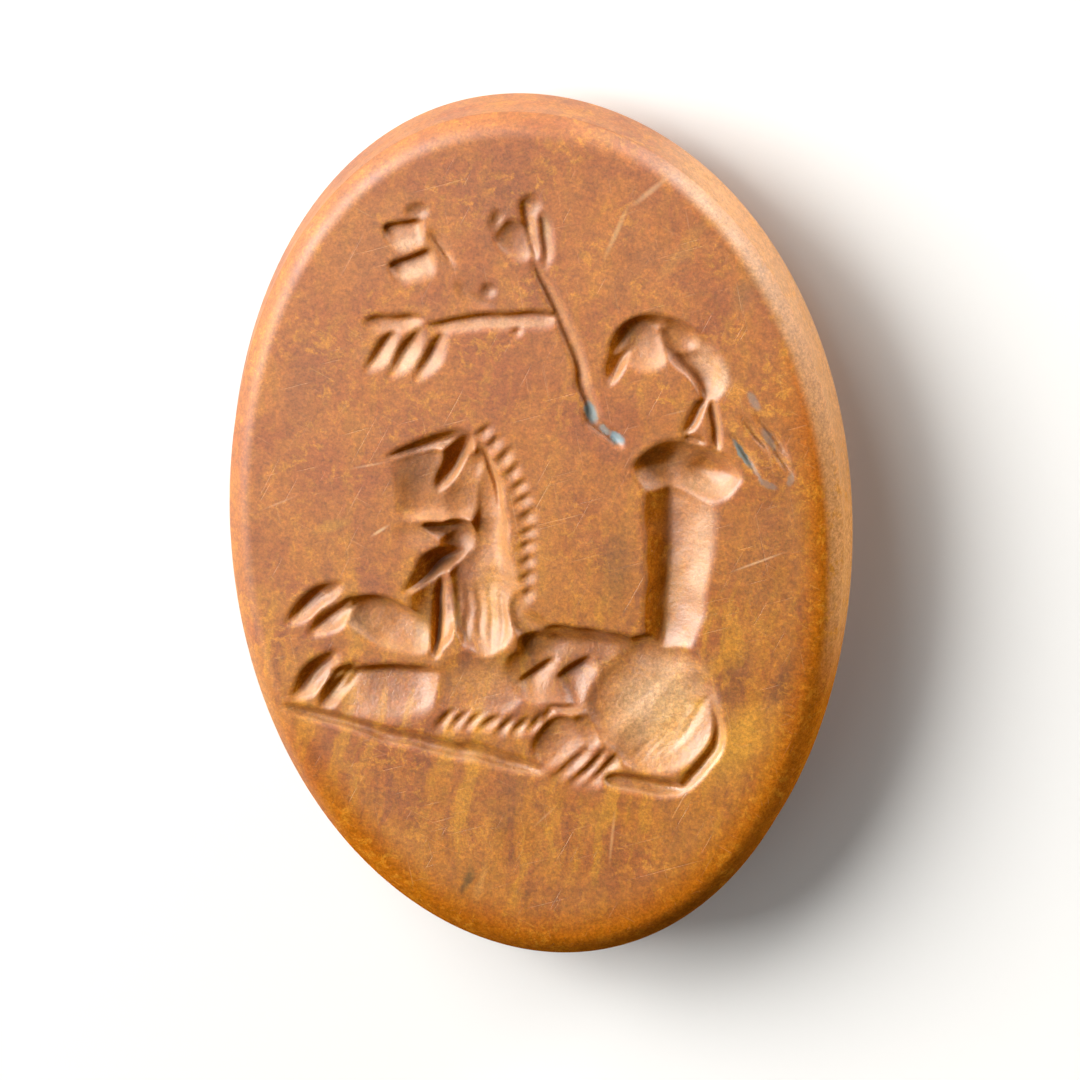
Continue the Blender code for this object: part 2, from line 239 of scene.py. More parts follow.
def cut_part(title, bowls, grooves):
    """Cuts a part of the picture and says how much stone went."""
    before = floor_of_cut.copy()
    for bowl in bowls.values():
        cut_bowl(*bowl)
    for groove in grooves.values():
        cut_groove(*groove)
    gone = before - floor_of_cut
    print(f"{title}: {(gone > 1e-4).sum() * CELL**2:.1f} mm2 cut, {gone.max():.2f} mm deep at most")


# %% [markdown]
# ## The beast's body
# The beast lies with its head to the left. Its body comes first, because it is the widest cut. Drill marks
# that run into each other make the haunch, the rump, the loin, the trunk and the belly. Then wheels cut the
# line of the back, the withers and the ribs.
# A bowl is x, y, half length, half width, depth, heading in degrees and lean.
# A groove is its points, its width at the start and the end, depth, lean, bluntness and, if need be, power.

# %% Body
cut_part("body", {
    "haunch": (1.92, -3.16, 1.2, 1.1, 0.36, 44, 0.5),
    "loin": (1, -2.6, 1.62, 0.7, 0.33, -22, 0.5),
    "trunk": (0.3, -2.56, 1.15, 0.6, 0.26, -6, 0),
    "belly": (-1.2, -2.6, 0.95, 0.6, 0.09, 5, -0.3),
    "rump": (2.24, -3.6, 1.12, 0.88, 0.31, 46, 0.35),
}, {
    "back": (((-0.5, -2.06), (0.6, -2.16), (1.75, -2.34)), 0.86, 1, 0.36, 0.3, 6, 2),
    "withers": (((-0.5, -0.9), (-0.4, -1.45), (0.15, -1.95)), 0.5, 0.6, 0.18, 0, 4, 2),
    "rib_front": (((-0.42, -2.98), (0.02, -2.72), (0.54, -2.4)), 0.74, 0.74, 0.33, 0.8, 4, 1.3),
    "rib_back": (((0.3, -3.14), (0.82, -2.84), (1.26, -2.56)), 1.16, 1.16, 0.41, 0.8, 4, 1.3),
    "flank": (((-0.1, -3.18), (0.5, -3.2), (1.15, -3.16)), 0.18, 0.22, 0.16, 0.2, 2),
})

# %% [markdown]
# ## Neck and breast
# The neck is one broad trough that widens downwards, with a sharp crest line along its back. The breast is a
# slim drill mark between two deep wheel cuts: the folds of the skin in front of the foreleg.

# %% Neck and breast
cut_part("neck and breast", {
    "chest": (-0.87, -0.95, 1.22, 0.6, 0.38, 87, 0.7),
    "breast_floor": (-2.02, -1.06, 0.9, 0.42, 0.32, 92, -0.6),
}, {
    "neck": (
        ((-0.86, 1.95), (-0.76, 1.2), (-0.8, 0.4), (-0.86, -0.5), (-0.9, -1.5)),
        0.36, 0.98, 0.32, -0.4, 2.2, 3),
    "crest": (((-0.86, 1.86), (-0.7, 1.35), (-0.62, 0.8), (-0.62, 0.2)), 0.12, 0.16, 0.34, 0.2, 3),
    "breast_outer": (((-1.74, -0.5), (-1.82, -0.95), (-1.87, -1.4), (-1.98, -2.1)), 0.34, 0.26, 0.52, 0, 4),
    "breast_inner": (((-1.38, -0.6), (-1.38, -1.3), (-1.38, -2)), 0.3, 0.24, 0.36, 0, 4),
})

# %% [markdown]
# ## The head
# Seven wheel cuts and one drill mark make the head. Flat bars give the cheek and the muzzle their planes. A
# deep slanting wedge between them is the eye and the side of the nose. Another below the jaw is the throat,
# and the drill mark opens the corner between them.

# %% Head
cut_part("head", {
    "jaw_root": (-1.32, 0.08, 0.5, 0.38, 0.4, -62, -0.1),
}, {
    "cheek": (((-1.16, 1.74), (-1.42, 0.46)), 0.84, 1.2, 0.27, 0.5, 6, 3),
    "muzzle": (((-1.96, 1.84), (-1.92, 0.5)), 0.96, 1.06, 0.2, 0.55, 8, 2.2),
    "eye": (((-1.1, 2.1), (-1.46, 1.46), (-1.86, 0.9)), 0.6, 0.34, 0.44, 0.4, 2.5),
    "brow": (((-1.08, 2.1), (-1.66, 1.9), (-2.56, 1.68)), 0.46, 0.16, 0.2, 0.2, 3),
    "jaw": (((-1.2, 0.22), (-1.75, 0.22), (-2.48, 0.22)), 0.5, 0.46, 0.04, 0, 4, 2),
    "jaw_gap": (((-2.05, 0.36), (-1.5, 0.26), (-0.98, 0.12)), 0.2, 0.6, 0.37, 0.35, 2.2, 2),
    "throat": (((-0.96, 0.06), (-1.62, -0.26), (-2.5, -0.8)), 0.66, 0.5, 0.54, 0.3, 1.8),
})

# %% [markdown]
# ## Legs, tail and ground
# The forelegs are stretched out to the left: the upper one is a drill mark, the lower one a square-ended bar.
# The tail curls under the haunch, and one long thin stroke is the ground that the beast lies on.

# %% Legs, tail and ground
cut_part("legs, tail and ground", {
    "hind_foot": (0.24, -3.9, 0.56, 0.46, 0.17, 45, 0.5),
    "foreleg_upper": (-2.86, -1.5, 0.9, 0.45, 0.3, -25, 0.5),
    "hock": (0.8, -3.62, 0.5, 0.34, 0.12, 25, 0.2),
}, {
    "foreleg_lower": (((-4.05, -2.66), (-2.9, -2.72), (-1.94, -2.76)), 1, 1.08, 0.25, 0.7, 5),
    "tail_upper": (
        ((2.88, -3.05), (3.02, -3.6), (2.98, -4.05), (2.7, -4.42), (2.22, -4.9)), 0.22, 0.34, 0.15, 0.2, 6),
    "tail_lower": (((2.36, -4.9), (1.6, -4.68), (0.88, -4.53)), 0.34, 0.34, 0.2, 0, 6),
    "ground": (
        ((-4.85, -2.9), (-4, -3.14), (-3.2, -3.44), (-2.4, -3.66), (-1.4, -3.94), (-0.12, -4.36)),
        0.28, 0.34, 0.15, -0.2, 8),
})

# %% [markdown]
# ## The upright figure
# Behind the beast stands an upright figure. Its head is a hook: an arm and a crown sweep over the top, a brim
# and a wedge are drilled inside them, and a fan falls behind. Three thin cuts below may be a sleeve or a
# scarf, and two drops are the hands. One broad stroke is the shoulder and one long trough the robe, with a
# steep left wall and a right side that fades into the face.

# %% Figure
cut_part("figure", {
    "hand_upper": (1.2, 2.28, 0.28, 0.13, 0.11, 102, 0),
    "hand_lower": (1.62, 1.82, 0.2, 0.12, 0.1, -40, 0),
    "wedge": (2.84, 3.56, 0.5, 0.36, 0.31, -50, 0.1),
    "brim_of_figure": (2.22, 3.42, 0.52, 0.46, 0.29, 0, 0.6),
}, {
    "crown": (((1.62, 3.26), (2.02, 3.76), (2.5, 3.88), (3, 3.76)), 0.3, 0.46, 0.26, -0.2, 4),
    "nape": (((2.78, 3.74), (3.12, 3.32), (3.4, 2.88), (3.48, 2.34)), 0.96, 0.5, 0.27, -0.65, 3),
    "arm": (((1.48, 2.82), (1.76, 3.26), (2.14, 3.72)), 0.32, 0.4, 0.22, -0.4, 3),
    "sleeve_left": (((3.34, 2.52), (3.08, 2.16), (2.82, 1.78)), 0.26, 0.2, 0.15, 0.5, 4),
    "sleeve_foot": (((2.84, 1.74), (3.24, 1.62)), 0.16, 0.14, 0.12, -0.3, 4),
    "sleeve_right": (((3.4, 2.5), (3.42, 2), (3.42, 1.42)), 0.16, 0.2, 0.14, 0.4, 4),
    "robe": (((2.74, 1.1), (2.68, 0.3), (2.56, -0.8), (2.24, -2.5)), 1.5, 0.88, 0.36, -0.3, 7, 1.3),
    "shoulder_of_figure": (((1.9, 1.2), (2.8, 1.08), (3.84, 0.86)), 1.28, 1.04, 0.4, 0.1, 3, 1.4),
})

# %% [markdown]
# ## The stem and its sprays
# The hands hold a stem that ends in three sprays. Thin wheels cut the stem and its branch. The sprays are
# short square-ended strokes set side by side. The buds, a leaf and its tip are touches of small drills.

# %% Stem and sprays
cut_part("stem and sprays", {
    "spray_left_bud": (-1.66, 6.18, 0.2, 0.16, 0.06, 0, 0),
    "spray_middle_bud": (-0.26, 5.95, 0.2, 0.12, 0.06, 80, 0),
    "berry": (-0.5, 4.65, 0.15, 0.12, 0.06, 60, 0),
    "branch_knot": (-0.01, 3.88, 0.11, 0.08, 0.08, 20, 0),
    "spray_middle_leaf": (0.08, 5.56, 0.42, 0.32, 0.14, -35, 0.1),
    "spray_middle_tip": (0.4, 6.12, 0.24, 0.2, 0.08, 80, 0.2),
}, {
    "stem": (
        ((0.42, 5.22), (0.62, 4.62), (0.86, 3.95), (1.03, 3.3), (1.14, 2.6), (1.34, 2.1), (1.8, 1.68)),
        0.26, 0.24, 0.12, -0.35, 8),
    "branch": (((-1.66, 4), (-0.85, 4.1), (0, 4.08), (0.78, 4.04)), 0.28, 0.34, 0.14, 0.45, 8, 1.3),
    "twig": (((-1.02, 4.86), (-0.84, 4.56), (-0.45, 4.34)), 0.22, 0.18, 0.04, 0, 3),
    "spray_low_head": (((-2.78, 4.16), (-1.7, 4.12)), 0.36, 0.28, 0.12, 0.4, 4),
    "spray_left_1": (((-2.26, 5.74), (-1.56, 5.8)), 0.48, 0.48, 0.15, 0.7, 8, 1.3),
    "spray_left_2": (((-2.22, 5.05), (-1.4, 5.28)), 0.46, 0.48, 0.18, 0.7, 8, 1.3),
    "spray_left_3": (((-1.42, 5.82), (-1.26, 5.5), (-1.08, 5.14)), 0.26, 0.12, 0.08, -0.3, 3),
    "spray_middle_2": (((0.3, 6.32), (0.36, 5.8), (0.46, 5.14)), 0.38, 0.22, 0.15, -0.3, 4, 1.3),
    "spray_middle_3": (((0.62, 6.02), (0.65, 5.6), (0.66, 5.02)), 0.24, 0.22, 0.1, -0.4, 4, 1.5),
})

# %% [markdown]
# ## Helpers for meshes and node trees
# The rest of the lesson builds node trees, for shapes and later for colours. One function adds a node, sets
# it and links it, so that a tree reads as a list of steps. Another turns hex codes, which are made for
# screens, into the linear light that Blender calculates with.

# %% Mesh and node helpers
def add_object(name, data):
    """A new object in the scene."""
    made = bpy.data.objects.new(name, data)
    scene.collection.objects.link(made)
    return made


def points_of(mesh):
    """A mesh's points in millimetres."""
    flat = np.empty(len(mesh.vertices) * 3)
    mesh.vertices.foreach_get("co", flat)
    return flat.reshape(-1, 3) / MM


def add_node(tree, kind, inputs=(), **settings):
    """Adds a node with its settings, its values and its links."""
    node = tree.nodes.new(kind)
    for name, value in settings.items():
        setattr(node, name, value)
    for key, value in dict(inputs).items():
        if isinstance(value, bpy.types.NodeSocket):
            tree.links.new(value, node.inputs[key])
        else:
            node.inputs[key].default_value = value
    return node


def result(tree, kind, inputs=(), **settings):
    """The first output of a new node."""
    return add_node(tree, kind, inputs, **settings).outputs[0]


def maths(tree, operation, *values):
    """A Math node's result."""
    return result(tree, "ShaderNodeMath", dict(enumerate(values)), operation=operation)


def vectors(tree, operation, *values):
    """A Vector Math node's result."""
    return result(tree, "ShaderNodeVectorMath", dict(enumerate(values)), operation=operation)


def vector(tree, *sides):
    """A vector from its numbers."""
    return result(tree, "ShaderNodeCombineXYZ", dict(enumerate(sides)))


def own_place(tree):
    """A point's place, and its three numbers."""
    place = result(tree, "GeometryNodeInputPosition")
    return place, *add_node(tree, "ShaderNodeSeparateXYZ", {0: place}).outputs


def set_places(tree, geometry, places, **which):
    """The geometry with its points at new places."""
    return result(tree, "GeometryNodeSetPosition", {"Geometry": geometry, "Position": places, **which})


def hex_colour(code):
    """An sRGB hex value as linear light, with alpha 1."""
    parts = [int(code[i : i + 2], 16) / 255 for i in (1, 3, 5)]
    return (*[c / 12.92 if c <= 0.04045 else ((c + 0.055) / 1.055) ** 2.4 for c in parts], 1.0)


# %% [markdown]
# A tree for shapes gets named inputs, so that its sizes can be set from outside. The modifier knows an input by
# its identifier, not its name, so `run_tree` looks that up. It then keeps the result as a plain mesh, with no
# modifier left, because only plain meshes leave Blender unchanged.

# %% Shape trees
jasper = bpy.data.materials.new("polished_jasper")


def new_tree(name, with_geometry=False, **sizes):
    """A Geometry Nodes tree with its named inputs and the node that hands them out."""
    tree = bpy.data.node_groups.new(name, "GeometryNodeTree")
    tree.interface.new_socket("Geometry", in_out="OUTPUT", socket_type="NodeSocketGeometry")
    if with_geometry:
        tree.interface.new_socket("Geometry", in_out="INPUT", socket_type="NodeSocketGeometry")
    for size, start in sizes.items():
        kind = "NodeSocketInt" if isinstance(start, int) else "NodeSocketFloat"
        socket = tree.interface.new_socket(size.replace("_", " "), in_out="INPUT", socket_type=kind)
        socket.default_value = start
    return tree, add_node(tree, "NodeGroupInput").outputs


def end_tree(tree, geometry):
    """Ends a tree with real geometry that carries the stone's material."""
    real = result(tree, "GeometryNodeRealizeInstances", {0: geometry})
    done = result(tree, "GeometryNodeSetMaterial", {"Geometry": real, "Material": jasper})
    add_node(tree, "NodeGroupOutput", {0: done})


def run_tree(name, tree, data, **values):
    """Runs a tree on an object with this data and keeps the result as a plain mesh object."""
    holder = add_object(name + "_start", data)
    modifier = holder.modifiers.new("Nodes", "NODES")
    modifier.node_group = tree
    for item in tree.interface.items_tree:
        value = values.get(item.name.replace(" ", "_"))
        if item.in_out == "INPUT" and value is not None:
            modifier[item.identifier] = value
    graph = bpy.context.evaluated_depsgraph_get()
    mesh = bpy.data.meshes.new_from_object(holder.evaluated_get(graph), depsgraph=graph)
    bpy.data.objects.remove(holder)
    return add_object(name, mesh)


# %% [markdown]
# ## Rows of like cuts
# The mane is a dozen nicks side by side, the belly has eight, and each paw has claws. One tree makes them all.
# It spreads points along the row's line, puts the same wheel mark on each, and turns and stretches it from the
# first value to the last. The mark is a small grid bent to a groove's floor, with the face at zero.

# %% The wheel mark
def wheel_mark(tree, lean):
    """A grid from -1 to 1 bent to the floor of a groove that is 1 deep."""
    grid = result(tree, "GeometryNodeMeshGrid", {
        "Size X": 2.0, "Size Y": 2.0, "Vertices X": 33, "Vertices Y": 17})
    _, along, sideways, _ = own_place(tree)
    fullness = maths(tree, "SUBTRACT", 1.0, maths(tree, "MULTIPLY", along, along))
    offset = maths(tree, "SUBTRACT", sideways, lean)
    left = maths(tree, "DIVIDE", offset, maths(tree, "SUBTRACT", 1.0, lean))
    right = maths(tree, "DIVIDE", offset, maths(tree, "SUBTRACT", -1.0, lean))
    side = maths(tree, "POWER", maths(tree, "MAXIMUM", left, right), GROOVE_POWER)
    height = maths(tree, "SUBTRACT", side, fullness)
    return set_places(tree, grid, vector(tree, along, sideways, height))


def row_tree():
    """Wheel marks beside each other along a line."""
    tree, inputs = new_tree(
        "Row of wheel marks", True, Count=5, Heading_Start=0.0, Heading_End=0.0,
        Length_Start=0.001, Length_End=0.001, Width=0.0003, Depth=0.0001, Lean=0.0)
    points = result(tree, "GeometryNodeResampleCurve", {"Curve": inputs["Geometry"], "Count": inputs["Count"]})
    last = maths(tree, "SUBTRACT", inputs["Count"], 1.0)
    share = maths(tree, "DIVIDE", result(tree, "GeometryNodeInputIndex"), last)
    turn, length = (
        result(tree, "ShaderNodeMapRange", {
            "Value": share, "To Min": inputs[name + " Start"], "To Max": inputs[name + " End"]})
        for name in ("Heading", "Length"))
    half_sizes = [maths(tree, "MULTIPLY", size, 0.5) for size in (length, inputs["Width"])]
    marks = result(tree, "GeometryNodeInstanceOnPoints", {
        "Points": points,
        "Instance": wheel_mark(tree, inputs["Lean"]),
        "Rotation": vector(tree, 0.0, 0.0, turn),
        "Scale": vector(tree, *half_sizes, inputs["Depth"]),
    })
    end_tree(tree, marks)
    return tree


# %% [markdown]
# The row's marks are pressed into the sheet. From under each cell a ray looks straight up, and the first mark
# that it meets is the deepest one there. `fresh` cuts start from the polished face, and the fine stripes of a
# gritty wheel from a floor already cut.

# %% Pressing a row
ROW_TREE = row_tree()


def row_line(points):
    """A curve along the row's smooth line."""
    curve = bpy.data.curves.new("row_line", "CURVE")
    curve.dimensions = "3D"
    places, _ = smooth_line(points, np.linspace(0, 1, PATH_STEPS))
    line = curve.splines.new("POLY")
    line.points.add(len(places) - 1)
    for point, place in zip(line.points, places * MM):
        point.co = (*place, 0.0, 1.0)
    return curve


def cut_row(name, points, count, headings, lengths, width, depth, lean, fresh=True):
    """Makes a row of wheel marks and presses it into the sheet."""
    marks = run_tree(
        name, ROW_TREE, row_line(points), Count=count,
        Heading_Start=math.radians(headings[0]), Heading_End=math.radians(headings[1]),
        Length_Start=lengths[0] * MM, Length_End=lengths[1] * MM,
        Width=width * MM, Depth=depth * MM, Lean=lean)
    mesh = marks.data
    places = points_of(mesh)
    tree = BVHTree.FromPolygons(places.tolist(), [tuple(face.vertices) for face in mesh.polygons])
    low, high = places.min(0), places.max(0)
    part = window(*((low + high)[:2] / 2), (high - low)[:2].max() / 2)
    depths = np.full(X[part].shape, np.inf)
    for cell in zip(*np.nonzero((X[part] > low[0]) & (X[part] < high[0]))):
        met = tree.ray_cast((X[part][cell], Y[part][cell], -5.0), (0, 0, 1))[0]
        if met:
            depths[cell] = met.z
    if fresh:
        press(part, uncut[part] + depths)
    else:
        floor_of_cut[part] += np.minimum(depths, 0)
    bpy.data.objects.remove(marks)
    print(f"{name}: {count} marks, {-low[2]:.2f} mm deep")


# %% [markdown]
# A row is its line, the number of marks, their first and last heading and length, their width, depth and lean.

# %% The rows
ROWS = {
    "mane": (
        ((-0.74, 2.04), (-0.32, 1.36), (-0.1, 0.6), (-0.12, -0.22), (-0.22, -1.02)),
        12, (33, 30), (0.42, 0.38), 0.24, 0.065, 0.5),
    "belly_nick": (
        ((-1.85, -3.28), (-1.3, -3.35), (-0.7, -3.5), (-0.3, -3.5), (0.02, -3.34)),
        8, (36, 46), (0.66, 0.5), 0.24, 0.085, 0.5),
    "fore_claw_upper": (((-4.12, -0.99), (-3.72, -1.24)), 2, (36, 37), (1.3, 1.25), 0.46, 0.2, 0.05),
    "fore_claw_lower": (((-4.2, -2.33), (-3.76, -2.56)), 2, (43, 45), (1.25, 1.15), 0.5, 0.24, 0.1),
    "hind_toe": (((0.22, -4.04), (0.54, -4.3), (1.0, -4.42)), 4, (42, 36), (1.0, 1.05), 0.3, 0.13, 0.7),
    "low_spray": (((-2.46, 3.64), (-1.6, 3.52)), 3, (50, 55), (1.02, 1.12), 0.36, 0.14, 0.3),
    "ray": (((3.92, 1.36), (4.34, 1.78), (4.52, 1.3)), 4, (-60, -58), (0.95, 1.1), 0.14, 0.1, 0.0),
}
for name, row in ROWS.items():
    cut_row(name, *row)

# %% [markdown]
# Fine parallel ridges on the breast, the haunch, the claws, the figure's shoulder and the fan show where the
# wheel went over the same place several times.

# %% Stripes on the floors
STRIPES = {
    "breast_stripe": (
        ((-1.5, -1.26), (-1.16, -1.34), (-0.74, -1.4)), 5, (90, 88), (1.2, 1.5), 0.15, 0.035, 0.0),
    "shoulder_stripe": (((2.5, 1.42), (2.86, 1.2), (3.2, 0.92)), 6, (-16, -24), (0.8, 0.9), 0.12, 0.028, 0.0),
    "haunch_stripe": (((1.6, -4.1), (2.3, -3.96), (2.8, -3.3)), 8, (38, 48), (0.9, 0.7), 0.13, 0.026, 0.0),
    "upper_claw_stripe": (((-4.16, -0.96), (-3.62, -1.26)), 5, (42, 42), (1.0, 1.0), 0.13, 0.04, 0.0),
    "lower_claw_stripe": (((-4.16, -2.34), (-3.66, -2.58)), 5, (46, 46), (1.0, 0.96), 0.13, 0.04, 0.0),
    "fan_stripe": (((2.98, 3.04), (3.2, 2.98), (3.44, 2.92)), 6, (-62, -103), (0.8, 0.8), 0.12, 0.045, 0.0),
}
for name, row in STRIPES.items():
    cut_row(name, *row, fresh=False)

# %% [markdown]
# ## The last polish
# A small blur takes the sharpness off, as a wooden stick with fine powder does. The hand also wanders: reading
# the cuts at places moved by soft noise makes straight edges a little unsteady, and a second noise varies
# how deep they are. Only the depth of the cuts is changed, so the face itself stays whole.

# %% Polish and wander
POLISH = 0.030
WANDER = 0.018
UNEVEN_DEPTH = 0.03


def sample(values, x, y):
    """Reads a sheet between its cells."""
    right = np.clip((x - sheet_x[0]) / CELL, 0, len(sheet_x) - 1.001)
    up = np.clip((y - sheet_y[0]) / CELL, 0, len(sheet_y) - 1.001)
    i, j = right.astype(int), up.astype(int)
    right, up = right - i, up - j
    below = values[j, i] * (1 - right) + values[j, i + 1] * right
    above = values[j + 1, i] * (1 - right) + values[j + 1, i + 1] * right
    return below * (1 - up) + above * up


depth_of_cut = sample(uncut - floor_of_cut, X + WANDER * soft_noise(1, 0.5), Y + WANDER * soft_noise(2, 0.5))
depth_of_cut = blur(depth_of_cut * (1 + UNEVEN_DEPTH * soft_noise(3, 0.4)), POLISH)
print(f"deepest place {depth_of_cut.max():.2f} mm, {(depth_of_cut > 0.01).mean():.0%} of the sheet is cut")

# %% [markdown]
# ## The blank
# Before any cutting the stone is an oval with a steep wall, a girdle where it is widest, and a slope to a flat
# back that sits in the ring. The wall and the back are guessed, since such stones nearly all have them.
#
# Geometry Nodes make the blank. A square grid becomes a disc, which has even cells everywhere and no crowded
# centre. Its rim is then pulled out again and again: down the wall, over the girdle, in to the back and shut in
# the middle.

# %% The disc
def square_to_disc(tree, grid):
    """Bends a grid from -1 to 1 into a unit disc: each side is shortened by how far out the other one is."""
    _, x, y, _ = own_place(tree)
    sides = []
    for own, other in ((x, y), (y, x)):
        squared = maths(tree, "MULTIPLY", other, other)
        shorter = maths(tree, "SQRT", maths(tree, "MULTIPLY_ADD", squared, -0.5, 1.0))
        sides.append(maths(tree, "MULTIPLY", own, shorter))
    return set_places(tree, grid, vector(tree, *sides))


def add_rings(tree, disc, rings):
    """Pulls the rim out once for each ring: its share of the disc and its height."""
    faces_there = result(tree, "GeometryNodeInputMeshEdgeNeighbors")
    rim = result(tree, "FunctionNodeCompare", {2: faces_there, 3: 1}, data_type="INT", operation="EQUAL")
    share_now = 1.0
    for share, height in rings:
        pulled = add_node(tree, "GeometryNodeExtrudeMesh", {
            "Mesh": disc, "Selection": rim, "Offset Scale": 0.0}, mode="EDGES").outputs
        ratio = maths(tree, "DIVIDE", share, share_now)
        ratios, lift = vector(tree, ratio, ratio), vector(tree, 0.0, 0.0, height)
        drawn = vectors(tree, "MULTIPLY_ADD", result(tree, "GeometryNodeInputPosition"), ratios, lift)
        disc = set_places(tree, pulled["Mesh"], drawn, Selection=pulled["Top"])
        rim, share_now = pulled["Top"], share
    return disc


# %% [markdown]
# The disc is stretched to the ellipse only after the rings are made, and the two cosines of the outline make it
# uneven in the same step.

# %% The blank's tree
def stretch_to_oval(tree, geometry, width, length):
    """Stretches the unit disc to the uneven oval."""
    place, x, y, _ = own_place(tree)
    turn = maths(tree, "ARCTAN2", y, x)
    factor = 1.0
    for lobes, share, degrees in UNEVEN:
        wave = maths(tree, "COSINE", maths(tree, "MULTIPLY_ADD", turn, lobes, -lobes * math.radians(degrees)))
        factor = maths(tree, "MULTIPLY_ADD", wave, share, factor)
    sides = [maths(tree, "MULTIPLY", maths(tree, "MULTIPLY", size, 0.5), factor) for size in (width, length)]
    return set_places(tree, geometry, vectors(tree, "MULTIPLY", place, vector(tree, *sides, 1.0)))


def blank_tree():
    """The stone before the engraving."""
    tree, inputs = new_tree(
        "Oval blank", Width=0.0114, Length=0.016, Wall_Top=0.002, Girdle=0.00095, Bevel=0.00085,
        Back_Share=0.74, Cells_Across=100, Cells_Along=140)
    grid = result(tree, "GeometryNodeMeshGrid", {
        "Size X": 2.0, "Size Y": 2.0,
        "Vertices X": inputs["Cells Across"], "Vertices Y": inputs["Cells Along"]})
    half_girdle = maths(tree, "MULTIPLY", inputs["Girdle"], 0.5)
    middle_of_wall = maths(tree, "MULTIPLY_ADD", inputs["Wall Top"], 0.5, half_girdle)
    back = inputs["Back Share"]
    rings = (
        (0.984, inputs["Wall Top"]),
        (0.991, middle_of_wall),
        (1.0, inputs["Girdle"]),
        (0.994, inputs["Bevel"]),
        (maths(tree, "ADD", back, 0.02), 0.03 * MM),
        (back, 0.0),
        (1e-6, 0.0),
    )
    ringed = add_rings(tree, square_to_disc(tree, grid), rings)
    oval = stretch_to_oval(tree, ringed, inputs["Width"], inputs["Length"])
    shut = result(tree, "GeometryNodeMergeByDistance", {"Geometry": oval, "Distance": 1e-7})
    end_tree(tree, shut)
    return tree


# %% Making the blank
FINE_CELL = 0.030
WALL_BELOW_FACE = 0.05
edge_of_face = stone_thickness - FACE_RISE - SHOULDER_DROP
cells_across = round(stone_width / FINE_CELL)
cells_along = round(stone_length / FINE_CELL)
gem = run_tree(
    "gem_stone", blank_tree(), bpy.data.meshes.new("gem_stone"),
    Width=2 * half_width * MM, Length=2 * half_length * MM,
    Wall_Top=(edge_of_face - WALL_BELOW_FACE) * MM,
    Cells_Across=cells_across, Cells_Along=cells_along)
print("blank has", len(gem.data.vertices), "points")

# %% [markdown]
# ## Putting the picture on the stone
# The grid's own points are the face, and they come first in the mesh. Each is drawn in a little from the
# outline, where the wall's inset leaves room, and set to the height of the dome less the depth of the cut.

# %% Engrave the face
places = points_of(gem.data)
face = places[: cells_across * cells_along]
face[:, :2] *= (1 - WALL_INSET / np.linalg.norm(face[:, :2], axis=1).clip(WALL_INSET))[:, None]
face[:, 2] = face_height(*face[:, :2].T) - sample(depth_of_cut, *face[:, :2].T)
places[:, :2] += picture_shift
gem.data.vertices.foreach_set("co", (places * MM).ravel())
body = bmesh.new()
body.from_mesh(gem.data)
bmesh.ops.recalc_face_normals(body, faces=body.faces)
body.to_mesh(gem.data)
print("edges that aren't shared by two faces:", sum(len(edge.link_faces) != 2 for edge in body.edges))
body.free()

# %% [markdown]
# The mesh is far finer than the smooth parts need. Decimate takes triangles away where the surface is
# flattest, which leaves them in the cuts. Then each point keeps how deep its cut is, for the colours.

# %% Thin the mesh
TRIANGLES = 190_000
DEEPER_THAN_CUTS = 0.8
whole = sum(len(polygon.vertices) - 2 for polygon in gem.data.polygons)
if whole > TRIANGLES:
    thinning = gem.modifiers.new("Thin", "DECIMATE")
    thinning.ratio = TRIANGLES / whole
    graph = bpy.context.evaluated_depsgraph_get()
    gem.data = bpy.data.meshes.new_from_object(gem.evaluated_get(graph), depsgraph=graph)
    gem.modifiers.clear()
gem.data.shade_smooth()
places = points_of(gem.data)
on_face = places[:, 2] > edge_of_face - DEEPER_THAN_CUTS
cut = sample(depth_of_cut, *(places[:, :2] - picture_shift).T) * on_face
gem.data.attributes.new("cut_depth", "FLOAT", "POINT").data.foreach_set("value", cut)
print("triangles:", whole, "thinned to", sum(len(polygon.vertices) - 2 for polygon in gem.data.polygons))

# %% [markdown]
# ## The jasper's colours
# Jasper is fine quartz packed together and stained by iron. Here a yellow ochre ground is clouded with reddish
# brown, and steep streaks run through it, as the layers did in which it grew. The colours are laid one over
# the other, the broad ones first. They are worked out in the stone's own millimetres, so a streak goes on down
# a cut and over the edge.

# %% Colour helpers
jasper.use_nodes = True
paint = jasper.node_tree
object_place = add_node(paint, "ShaderNodeTexCoord").outputs["Object"]
in_mm = vectors(paint, "MULTIPLY_ADD", object_place, (1 / MM,) * 3, (*-picture_shift, 0.0))


def blend(under, over, share):
    """One colour over another."""
    return add_node(paint, "ShaderNodeMix", {0: share, 6: under, 7: over}, data_type="RGBA").outputs[2]


def fade(value, start, end, low=0.0, high=1.0):
    """Goes softly from low to high while the value goes from start to end."""
    return result(paint, "ShaderNodeMapRange", {
        "Value": value, "From Min": start, "From Max": end, "To Min": low, "To Max": high,
    }, interpolation_type="SMOOTHSTEP")


def times(first, second):
    """Two values multiplied."""
    return maths(paint, "MULTIPLY", first, second)


def measure(operation, *values):
    """A Vector Math node's result where that is a number."""
    node = add_node(paint, "ShaderNodeVectorMath", dict(enumerate(values)), operation=operation)
    return node.outputs["Value"]


def turned_space(place, heading, length, width):
    """Coordinates that run along a heading, in units of this length and this width."""
    return result(paint, "ShaderNodeMapping", {
        "Vector": place, "Rotation": (0.0, 0.0, math.radians(heading)), "Scale": (length, width, width),
    }, vector_type="TEXTURE")


